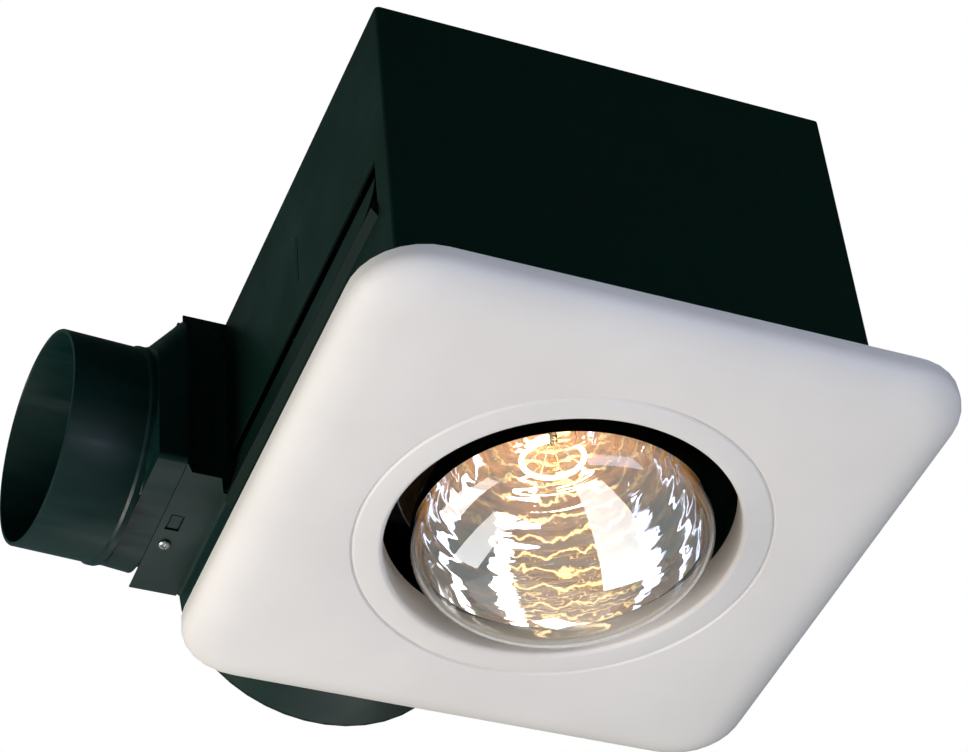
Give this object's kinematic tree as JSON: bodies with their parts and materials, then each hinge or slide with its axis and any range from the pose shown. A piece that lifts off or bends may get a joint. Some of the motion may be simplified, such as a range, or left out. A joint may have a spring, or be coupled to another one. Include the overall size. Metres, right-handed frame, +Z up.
{
  "type": "ceiling_heater",
  "caption": "Square bathroom ceiling heater with one infrared lamp and a side blower with its duct collar",
  "frame": {"origin": "on the lamp's axis, in the plane of the ceiling that the grille's rim seats on", "axes": "+Z up into the ceiling, -X the way the duct collar leaves, +Y from the lamp towards the blower"},
  "size_m": [0.3212, 0.3316, 0.223],
  "materials": {
    "dark_steel": "black baked enamel, satin",
    "blower_steel": "black baked enamel, satin",
    "black_plastic": "moulded, soft sheen",
    "pale_plastic": "moulded, fine texture",
    "zinc": "zinc plated",
    "spring_steel": "bright",
    "stack_steel": "laminated, oiled",
    "copper": "enamelled winding wire",
    "brass": "drawn",
    "clear_glass": "silvered inside on the back, clear in front",
    "tungsten": "glowing",
    "black_glass": "vitrified",
    "porcelain": "glazed",
    "aluminium": "mill finish",
    "green_screw": "green zinc",
    "nylon": "moulded",
    "lead_cover": "flexible"
  },
  "bodies": {
    "housing": {"housing_shell": "dark_steel", "housing_far_wall": "dark_steel", "scroll_near_plate": "blower_steel", "scroll_far_plate": "blower_steel", "scroll_wrap": "blower_steel", "inlet_ring": "blower_steel", "motor_stator": "stack_steel", "motor_coil": "copper", "motor_bracket_near": "aluminium", "motor_bracket_far": "aluminium", "motor_carrier": "blower_steel", "motor_screw_left": "zinc", "motor_screw_right": "zinc", "duct_connector": "black_plastic", "connector_screw": "zinc", "lampholder_body": "porcelain", "lampholder_shell": "brass", "lampholder_contact": "brass", "lampholder_bar": "dark_steel", "lampholder_screw_left": "zinc", "lampholder_screw_right": "zinc", "thermal_cutout": "black_plastic", "heat_baffle": "aluminium", "wiring_cover": "dark_steel", "motor_socket": "nylon", "lamp_socket": "nylon", "motor_plug": "black_plastic", "lamp_plug": "black_plastic", "motor_lead": "lead_cover", "lamp_lead": "lead_cover", "earth_screw": "green_screw"},
    "wheel": {"blower_wheel": "black_plastic", "wheel_clip": "spring_steel", "motor_shaft": "spring_steel", "motor_rotor": "aluminium"},
    "damper": {"damper_flap": "black_plastic", "damper_pin": "zinc"},
    "lamp": {"lamp_envelope": "clear_glass", "lamp_stem": "clear_glass", "lamp_filament": "tungsten", "lamp_base_shell": "brass", "lamp_base_insulator": "black_glass", "lamp_contact": "brass"},
    "grille": {"grille_panel": "pale_plastic", "grille_spring_left": "spring_steel", "grille_spring_right": "spring_steel"}
  },
  "joints": [
    {"name": "wheel_turn", "type": "hinge", "parent": "housing", "child": "wheel", "pos_m": [-0.047, 0.14, 0.088], "axis": [0, -1, 0], "continuous": true},
    {"name": "damper_swing", "type": "hinge", "parent": "housing", "child": "damper", "pos_m": [-0.16143, 0.14775, 0.16551], "axis": [-0.0698, 0.9976, 0], "range_deg": [0, 55]},
    {"name": "lamp_out", "type": "slide", "parent": "housing", "child": "lamp", "axis": [0, 0, -1], "range_m": [0, 0.045]},
    {"name": "grille_down", "type": "slide", "parent": "housing", "child": "grille", "axis": [0, 0, -1], "range_m": [0, 0.05]}
  ]
}
